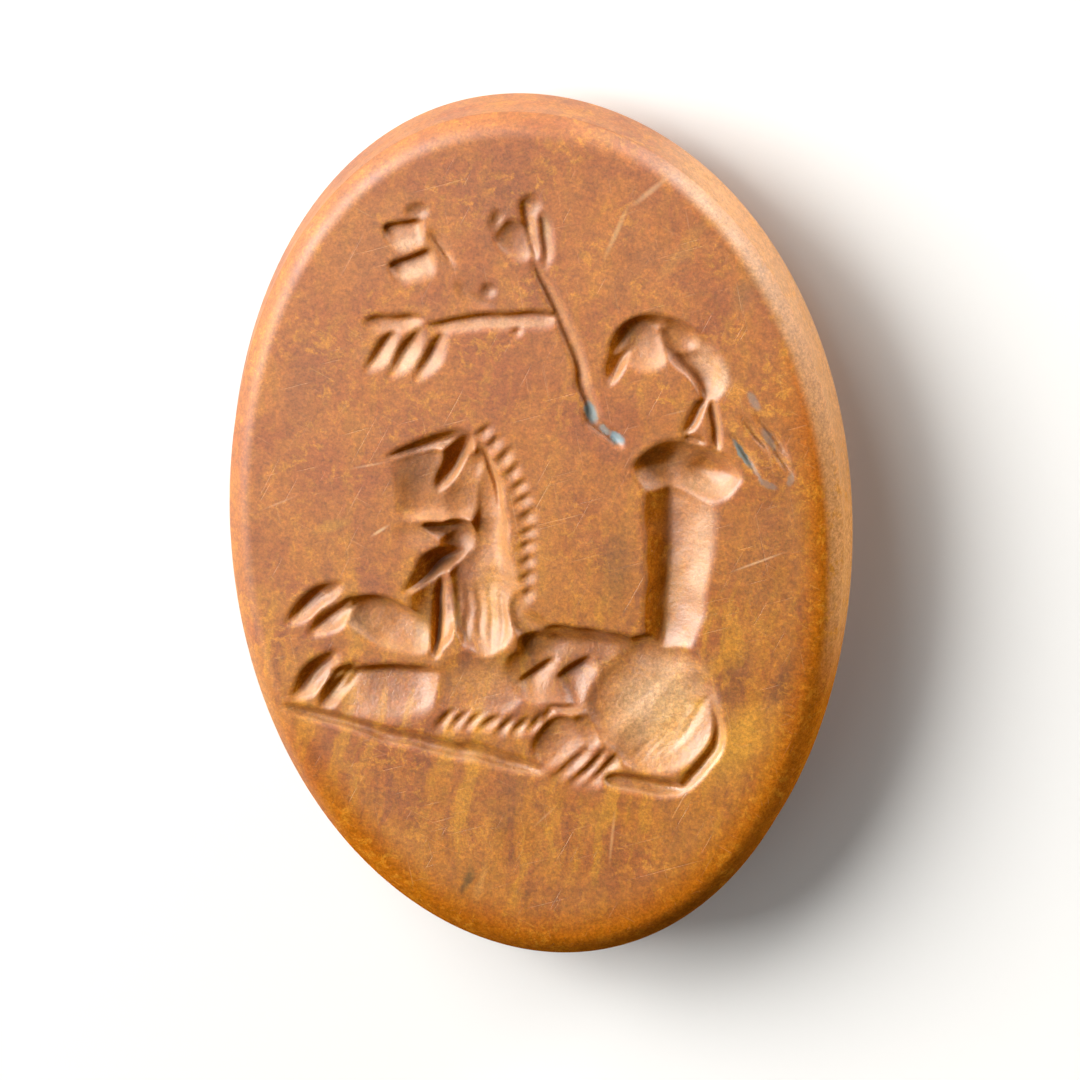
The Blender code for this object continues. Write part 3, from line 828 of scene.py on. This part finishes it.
def cloud(place, scale, detail=3.0, roughness=0.5, distortion=0.0):
    """Noise from 0 to 1."""
    return result(paint, "ShaderNodeTexNoise", {
        "Vector": place, "Scale": scale, "Detail": detail, "Roughness": roughness, "Distortion": distortion,
    })


def shaken(scale, detail, reach):
    """The place in millimetres, moved by noise by up to half of this reach along each axis."""
    noise = add_node(paint, "ShaderNodeTexNoise", {"Vector": in_mm, "Scale": scale, "Detail": detail})
    centred = vectors(paint, "ADD", in_mm, [-side / 2 for side in reach])
    return vectors(paint, "MULTIPLY_ADD", noise.outputs["Color"], reach, centred)


# %% [markdown]
# The ground is warmer towards the foot of the picture and browner towards its head. Over it come the clouds,
# then the streaks: noise in a space that is stretched along them, shaken a little so that no streak is ruled.

# %% Ground, clouds and streaks
OCHRE = hex_colour("#A26218")
HEAD_BROWN = hex_colour("#A05D20")
RED_BROWN = hex_colour("#8F4B1D")
PURPLE_BROWN = hex_colour("#80441F")
YELLOW = hex_colour("#B27616")
STREAK_HEADING = 78
STREAK_LENGTH = 3.0
STREAK_WIDTH = 0.36
_, height_on_face, _ = add_node(paint, "ShaderNodeSeparateXYZ", {0: in_mm}).outputs
wandering = shaken(0.9, 3.0, (0.7, 0.7, 0.7))

colour = blend(OCHRE, HEAD_BROWN, fade(height_on_face, -3.0, 3.0))
clouds = cloud(wandering, 0.55, 5.0, 0.62)
colour = blend(colour, RED_BROWN, fade(clouds, 0.42, 0.62, 0.0, 0.8))
streaks = cloud(turned_space(wandering, STREAK_HEADING, STREAK_LENGTH, STREAK_WIDTH), 1.0, 4.0, 0.6)
strength = fade(height_on_face, 1.0, -2.5, 0.35, 1.0)
colour = blend(colour, PURPLE_BROWN, times(fade(streaks, 0.50, 0.66, 0.0, 0.75), strength))
colour = blend(colour, YELLOW, times(fade(streaks, 0.49, 0.34, 0.0, 0.75), strength))

# %% [markdown]
# ## Stains, and painted light and shade
# Some marks of this stone sit in one place only: a purple lens between the two figures, yellow streaks behind
# the haunch, a greenish thread near the foot, paler ovals in the sprays. Other ovals are painted light: on the
# lit floor of the haunch, on the lit wall of the robe and at the figure's shoulder; and painted shade: on the
# robe's floor and on the muzzle. Each is a soft oval: x, y, half length, half width, heading, colour and
# strength. Two dot products turn a place into half lengths along the oval and half widths across it.

# %% Stains
STAINS_AND_PAINTED_SHADING = (
    (1.45, -0.55, 1.15, 0.5, 80, "#6D3D1D", 0.6), (-0.9, -4.9, 1.1, 0.36, 72, "#76421D", 0.45),
    (-2.6, -5.2, 0.9, 0.3, 68, "#7B451B", 0.35), (0.95, -6.1, 1, 0.3, 72, "#7F481D", 0.35),
    (3.4, -2.85, 0.9, 0.42, 55, "#734522", 0.5), (4.35, -2.9, 0.8, 0.26, 62, "#643717", 0.65),
    (4.3, -0.6, 2, 0.9, 82, "#7F4821", 0.35), (3.35, -4, 1.3, 0.62, 50, "#C48A28", 0.75),
    (2.95, -2.6, 0.7, 0.14, 62, "#AE7626", 0.6), (4.8, 2.7, 1.4, 0.42, 82, "#A66110", 0.75),
    (4.2, 1.7, 1, 0.6, 80, "#A25E13", 0.55), (4.6, -4.3, 1.8, 0.5, 62, "#98510B", 0.5),
    (-4.35, 2, 0.4, 0.22, 10, "#A6651C", 0.55), (-3.7, 0.45, 0.5, 0.16, 15, "#A27122", 0.6),
    (-0.1, 6.1, 1.5, 1, 90, "#7F4822", 0.45), (-0.55, 4.7, 0.5, 0.34, -30, "#794018", 0.5),
    (-2.6, 5.6, 1.4, 0.9, 60, "#8B5126", 0.35), (-3.9, 3.2, 1.4, 0.8, 80, "#844C24", 0.35),
    (4.2, 4.4, 0.7, 0.3, 50, "#754E2C", 0.4), (2.2, 4.9, 1.2, 0.3, 48, "#814C24", 0.35),
    (3.1, 5.2, 1, 0.2, 48, "#A5712D", 0.45), (0.9, 6.8, 1, 0.4, -20, "#96551B", 0.35),
    (-1.72, -6.35, 0.5, 0.11, 70, "#533D14", 0.75), (-1.48, -6.4, 0.65, 0.1, 72, "#B17932", 0.6),
    (-0.6, -6.65, 0.3, 0.12, 75, "#5F3312", 0.55), (-2.65, -6.2, 0.12, 0.09, 60, "#723415", 0.6),
    (-1.66, 6.2, 0.42, 0.3, 0, "#83470F", 0.7), (-0.28, 5.92, 0.36, 0.26, 0, "#844810", 0.65),
    (0.35, 6.22, 0.34, 0.22, 80, "#8B4C12", 0.6), (-2.1, -1.45, 0.75, 0.34, 82, "#865D0F", 0.7),
    # painted shade: the second oval on the line below darkens the muzzle
    (-1.55, -1.3, 0.9, 0.08, 88, "#A1721E", 0.65), (-2.3, 1.3, 0.6, 0.4, 80, "#75400E", 0.55),
    (3.58, 2.8, 0.5, 0.2, 75, "#A67F55", 0.6), (0.66, 5.75, 0.4, 0.12, 88, "#997848", 0.5),
    (3.95, 5.7, 1.7, 0.3, 124, "#BC6A14", 0.8), (5.15, 1.8, 2.6, 0.26, 97, "#AE5C0C", 0.75),
    (4.6, 0.6, 2.6, 0.7, 92, "#8A4E18", 0.4), (0.4, -7, 2.6, 0.7, 8, "#96560F", 0.4),
    # painted shade: the second oval on the line below darkens the muzzle
    (3.4, 3.05, 0.75, 0.34, -62, "#C39C78", 0.5), (-1.95, 1.35, 0.55, 0.42, 80, "#6F3D14", 0.45),
    # painted light on the haunch's lit floor, then painted shade on the robe's floor
    (2, -3.2, 1.4, 1.1, 45, "#D2A878", 0.65), (2.48, 0, 1.1, 0.3, 86, "#84481C", 0.7),
    # painted light on the robe's lit wall and on the shaded floor at the figure's shoulder
    (2.96, -0.5, 1.5, 0.24, 80, "#D9B48A", 0.25), (2.35, 1.38, 0.6, 0.32, -10, "#B07A44", 0.5),
    # painted light on the bright band under the figure's shoulder, then a paler oval in a spray
    (3.2, 0.82, 0.6, 0.3, -15, "#CCA074", 0.5), (-1.92, 5.6, 0.42, 0.2, 2, "#C29A74", 0.5),
    (-1.8, 5.08, 0.44, 0.18, 14, "#C29A74", 0.5), (-2.15, 3.48, 0.95, 0.34, -5, "#BE9268", 0.4),
    (-0.3, 4.02, 1.1, 0.1, 0, "#BE9268", 0.4), (-3.45, -1.35, 0.75, 0.26, -25, "#BE9268", 0.35),
    (2.35, -3.65, 0.9, 0.62, 48, "#C8953C", 0.55), (2.75, -3.3, 0.3, 0.16, 60, "#C98F1C", 0.6),
    (-0.9, -1.15, 0.95, 0.36, 88, "#C08A45", 0.45), (-1.2, -2.6, 0.75, 0.46, 0, "#B87B3A", 0.5),
)


def soft_oval(place, x, y, half_long, half_wide, heading, core, strength=1.0):
    """Strength inside a soft oval and 0 outside. Core is the share of it that has the full strength."""
    c, s = math.cos(math.radians(heading)), math.sin(math.radians(heading))
    axes = (c / half_long, s / half_long, 0.0), (-s / half_wide, c / half_wide, 0.0)
    own = vector(paint, *(measure("DOT_PRODUCT", place, axis) for axis in axes))
    middle = [right * x + up * y for right, up, _ in axes]
    return fade(measure("DISTANCE", own, (*middle, 0.0)), 1.0, core, 0.0, strength)


def lay_marks(colour, marks, place, core):
    """Lays soft ovals over a colour."""
    for *oval, code, strength in marks:
        colour = blend(colour, hex_colour(code), soft_oval(place, *oval, core, strength))
    return colour


colour = lay_marks(colour, STAINS_AND_PAINTED_SHADING, shaken(3.0, 4.0, (0.30, 0.30, 0.0)), 0.2)

# %% [markdown]
# ## Painted shade and light on the rim and in the cuts
# The rim at the foot and the lower right faces away from the lamps, and its shade is painted in as a deep
# amber. The wall at the right is painted paler where the low lamp from the right falls on it: painted light.
# In the cuts the side towards the upper left, in shade, is painted the deep amber, and the opposite side, where
# the light falls, is painted pale: painted shade and painted light. The slant of the surface tells the two
# sides apart, and the depth kept at each point of the mesh says what is in a cut.

# %% Rim and cut sides
PAINTED_SHADE_AMBER = hex_colour("#97520C")
WALL_PAINTED_LIGHT = hex_colour("#BC8A58")
PALE_CUT_AND_LIT_SIDE = hex_colour("#B58A60")
TO_FOOT = (0.5, -0.87, 0.0)
TO_RIGHT = (1.0, 0.25, 0.0)
TO_LOWER_RIGHT = (0.75, -0.66, 0.0)
OVAL_SCALE = (0.182, 0.125, 0.0)  # brings the rim to about 1
footward = measure("DOT_PRODUCT", in_mm, TO_FOOT)
rightward = measure("DOT_PRODUCT", in_mm, TO_RIGHT)
rimward = measure("LENGTH", vectors(paint, "MULTIPLY", in_mm, OVAL_SCALE))
# painted shade: the rim at the foot and the lower right, away from the lamps, is darkened to deep amber
painted_rim_shade = times(fade(rimward, 0.85, 0.95), fade(footward, -1.0, 3.0))
colour = blend(colour, PAINTED_SHADE_AMBER, times(painted_rim_shade, 0.85))
# painted light: the wall at the right, where the low lamp falls, is made paler
wall_painted_light = times(fade(rimward, 0.955, 0.985), fade(rightward, 4.0, 5.2))
colour = blend(colour, WALL_PAINTED_LIGHT, times(wall_painted_light, 0.7))
outward = add_node(paint, "ShaderNodeNewGeometry").outputs["Normal"]
cut_depth = add_node(paint, "ShaderNodeAttribute", attribute_name="cut_depth").outputs["Fac"]
in_cut = fade(cut_depth, 0.004, 0.05)
slant = measure("DOT_PRODUCT", outward, TO_LOWER_RIGHT)
# painted shade: cut sides that face the lower right, away from the light, get the deep amber
shaded_side_paint = times(fade(slant, 0.20, 0.55), in_cut)
# painted light: cut sides that face the upper left, towards the light, are made pale
lit_side_paint = times(fade(slant, -0.12, -0.45), in_cut)
colour = blend(colour, PAINTED_SHADE_AMBER, times(shaded_side_paint, 0.8))

# %% [markdown]
# ## Grains
# Close up the stone is full of small grains of light ochre, which lie together in patches. Fine noise above its
# middle value gives the grains, and coarse noise says how strong they are in each patch. Three golden patches
# at the right have their own places. Last come specks of quartz, lighter and darker than the rest.

# %% Grains
GRAIN = hex_colour("#B4741F")
GRAIN_SIZE = 0.22
SPECK_SIZE = 0.05
GOLDEN = ((4.55, 2.55, 1.5, 0.5, 82), (4.1, 1.5, 1, 0.6, -60), (2.6, 2.6, 0.7, 0.5, 0))
grains = fade(cloud(in_mm, 1 / GRAIN_SIZE, 4.0, 0.75, 0.5), 0.50, 0.62)
patches = fade(cloud(in_mm, 0.9, 3.0), 0.42, 0.62, 0.1, 0.7)
for oval in GOLDEN:
    patches = maths(paint, "MAXIMUM", patches, soft_oval(in_mm, *oval, 0.4))
colour = blend(colour, GRAIN, times(grains, patches))
fine_specks = fade(cloud(in_mm, 1 / SPECK_SIZE, 3.0, 0.7), 0.25, 0.75, 0.70, 1.30)
coarse_specks = fade(cloud(in_mm, 0.35 / SPECK_SIZE, 2.0, 0.6), 0.25, 0.75, 0.84, 1.16)
lightness = times(fine_specks, coarse_specks)
colour = vectors(paint, "MULTIPLY", colour, vector(paint, lightness, lightness, lightness))

# %% [markdown]
# ## Polish and wear
# The face has a waxy polish, better at the foot, with hair scratches from wear. A hair is noise in a space many
# times longer than wide, and four headings make a net. The cuts were polished less, so they are a little
# rougher, paler and finely pitted; their sides that face the light are painted paler still, as painted light.
# Blue-grey crumbs of an old filling are left in the hands and the rays.

# %% Scratches and crumbs
HAIR_LENGTH = 2.2
HAIR_WIDTH = 0.035
HAIR_PALE = hex_colour("#D8AA78")
SCRATCHES = (
    (4.03, -0.63, 0.66, 0.035, 17, "#E0B488", 0.45), (-2.9, 1.55, 0.45, 0.035, 8, "#DDB084", 0.3),
    (-2.8, 0.32, 0.26, 0.045, 30, "#E8C394", 0.45), (1, -5.65, 0.7, 0.045, 80, "#D6A268", 0.4),
    (2.55, 6.3, 0.55, 0.08, 35, "#D9B383", 0.35), (1.9, 5.6, 0.7, 0.07, 62, "#D9B076", 0.35),
    (-4.6, 0.92, 0.45, 0.03, 20, "#DDB084", 0.25), (-0.2, -5.2, 0.4, 0.03, 40, "#D6A878", 0.25),
)
CRUMBS = (
    (1.2, 2.3, 0.27, 0.13, 105, "#76807C", 0.95), (1.42, 1.98, 0.16, 0.09, 125, "#7E817A", 0.8),
    (1.64, 1.82, 0.2, 0.13, -40, "#7A8A8C", 0.95), (3.88, 1.38, 0.42, 0.07, -62, "#74796F", 0.95),
    (4.16, 2.35, 0.26, 0.1, -62, "#857263", 0.65), (4.38, 1.62, 0.3, 0.09, -64, "#84705F", 0.65),
    (4.3, 0.8, 0.24, 0.09, -30, "#80695A", 0.65), (4.72, 0.86, 0.16, 0.08, 70, "#84705F", 0.55),
    (4.1, 1.05, 0.34, 0.05, -64, "#8A7768", 0.5),
)
hairs = 0.0
for heading in (12, 58, 97, 148):
    strands = cloud(turned_space(in_mm, heading, HAIR_LENGTH, HAIR_WIDTH), 1.0, 1.0)
    hairs = maths(paint, "MAXIMUM", hairs, fade(strands, 0.70, 0.80))
plain_cut = times(maths(paint, "SUBTRACT", in_cut, shaded_side_paint), 0.12)
# painted light on the lit cut sides, over the slightly paler colour of all cut floors
colour = blend(colour, PALE_CUT_AND_LIT_SIDE, maths(paint, "MULTIPLY_ADD", lit_side_paint, 0.26, plain_cut))
colour = blend(colour, HAIR_PALE, times(hairs, 0.12))
colour = lay_marks(colour, SCRATCHES, in_mm, 0.1)
colour = lay_marks(colour, CRUMBS, shaken(9.0, 4.0, (0.10, 0.10, 0.0)), 0.5)

# %% [markdown]
# The shader takes the colour, a roughness and a bump. A little light also goes into the quartz and comes out
# beside where it went in, redder, which helps the shaded sides of the cuts glow instead of going grey. The
# places with painted shade, the rim at the foot and the shaded sides of the cuts, mirror less, so they stay
# dark.

# %% The finished material
shader = paint.nodes["Principled BSDF"]
smear = fade(cloud(in_mm, 1.4, 4.0, 0.6), 0.3, 0.7, -0.04, 0.04)
face_roughness = maths(paint, "ADD", fade(footward, -4.0, 6.0, 0.58, 0.44), smear)
roughness = maths(paint, "MULTIPLY_ADD", in_cut, 0.02, face_roughness)
pits = times(cloud(in_mm, 9.0, 3.0, 0.6), maths(paint, "MULTIPLY_ADD", in_cut, 0.010, 0.0025))
relief = maths(paint, "MULTIPLY_ADD", hairs, -0.002, pits)
bump = add_node(paint, "ShaderNodeBump", {"Height": times(relief, MM), "Distance": 1.0, "Strength": 1.0})
dull = maths(paint, "MAXIMUM", painted_rim_shade, shaded_side_paint)
mirroring = maths(paint, "MULTIPLY_ADD", dull, -0.85, 0.85)
for name, value in {
    "Base Color": colour, "Roughness": roughness, "Normal": bump.outputs[0], "Specular IOR Level": mirroring,
}.items():
    paint.links.new(value, shader.inputs[name])
for name, value in {
    "IOR": 1.54, "Subsurface Weight": 0.18, "Subsurface Radius": (1.0, 0.40, 0.12),
    "Subsurface Scale": 0.25 * MM,
}.items():
    shader.inputs[name].default_value = value
print(len(paint.nodes), "nodes in the jasper")
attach(gem, "root")
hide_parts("gem")

# %% [markdown]
# ## Light and camera
# The stone lies on pale paper. Two main lights stand low at the upper left, so that every cut has a bright and
# a dark side with a soft edge. A weak sheen comes from high at the left, and a very low light from the right
# brightens the wall there.

# %% Table and lights
scene.view_settings.view_transform = "Standard"
bpy.ops.mesh.primitive_plane_add(size=1.0)
table = bpy.context.object
table.name = "table"
paper = bpy.data.materials.new("table_paper")
paper.use_nodes = True
paper_inputs = paper.node_tree.nodes["Principled BSDF"].inputs
paper_inputs["Base Color"].default_value = hex_colour("#DAD8D4")
paper_inputs["Roughness"].default_value = 0.9
table.data.materials.append(paper)
LIGHTS = {  # direction, height in degrees, distance in m, size in m, power in W
    "key": (157, 34, 0.30, 0.22, 1.65),
    "second": (128, 34, 0.30, 0.22, 0.75),
    "sheen": (185, 62, 0.35, 0.22, 0.14),
    "edge": (40, 4, 0.30, 0.12, 1.60),
}


def toward(round_stone, above):
    """The direction at an angle round the stone and an angle above the table."""
    turn, rise = math.radians(round_stone), math.radians(above)
    return Vector((math.cos(rise) * math.cos(turn), math.cos(rise) * math.sin(turn), math.sin(rise)))


for name, (round_stone, above, distance, size, power) in LIGHTS.items():
    lamp = bpy.data.lights.new(name, "AREA")
    lamp.shape = "DISK"
    lamp.size = size
    lamp.energy = power
    stand = add_object(name, lamp)
    stand.location = toward(round_stone, above) * distance
    stand.rotation_euler = toward(round_stone, above).to_track_quat("Z", "Y").to_euler()
world = bpy.data.worlds.new("studio")
scene.world = world
world.use_nodes = True
background = world.node_tree.nodes["Background"].inputs
background["Color"].default_value = (1, 1, 1, 1)
background["Strength"].default_value = 0.05

# %% [markdown]
# The camera looks almost straight down, tipped by fifteen degrees towards the upper right, so that a little of
# the wall shows there. It stands far off with a long lens, which keeps the oval free of perspective. The lens
# follows from the field, given in millimetres at the stone.

# %% Camera
TILT = 15.0
TILT_SIDE = 66.0
ROLL = 4.4
DISTANCE = 200.0
FIELD = 19.57
OFF_MIDDLE = (0.107, 0.0145)
away = toward(TILT_SIDE, 90 - TILT)
level_up = (Vector((0, 1, 0)) - away * away.y).normalized()
level_right = level_up.cross(away)
roll = math.radians(ROLL)
right = level_right * math.cos(roll) - level_up * math.sin(roll)
up = level_right * math.sin(roll) + level_up * math.cos(roll)
aim = Vector((*picture_shift, stone_thickness)) + right * OFF_MIDDLE[0] + up * OFF_MIDDLE[1]
lens = bpy.data.cameras.new("camera")
lens.sensor_width = 36.0
lens.lens = lens.sensor_width * DISTANCE / FIELD
lens.clip_start = 0.01
camera = add_object("camera", lens)
stance = Matrix((right, up, away)).transposed().to_4x4()
stance.translation = (aim + away * DISTANCE) * MM
camera.matrix_world = stance
scene.camera = camera
print(f"lens of {lens.lens:.0f} mm, {DISTANCE:.0f} mm from the stone")
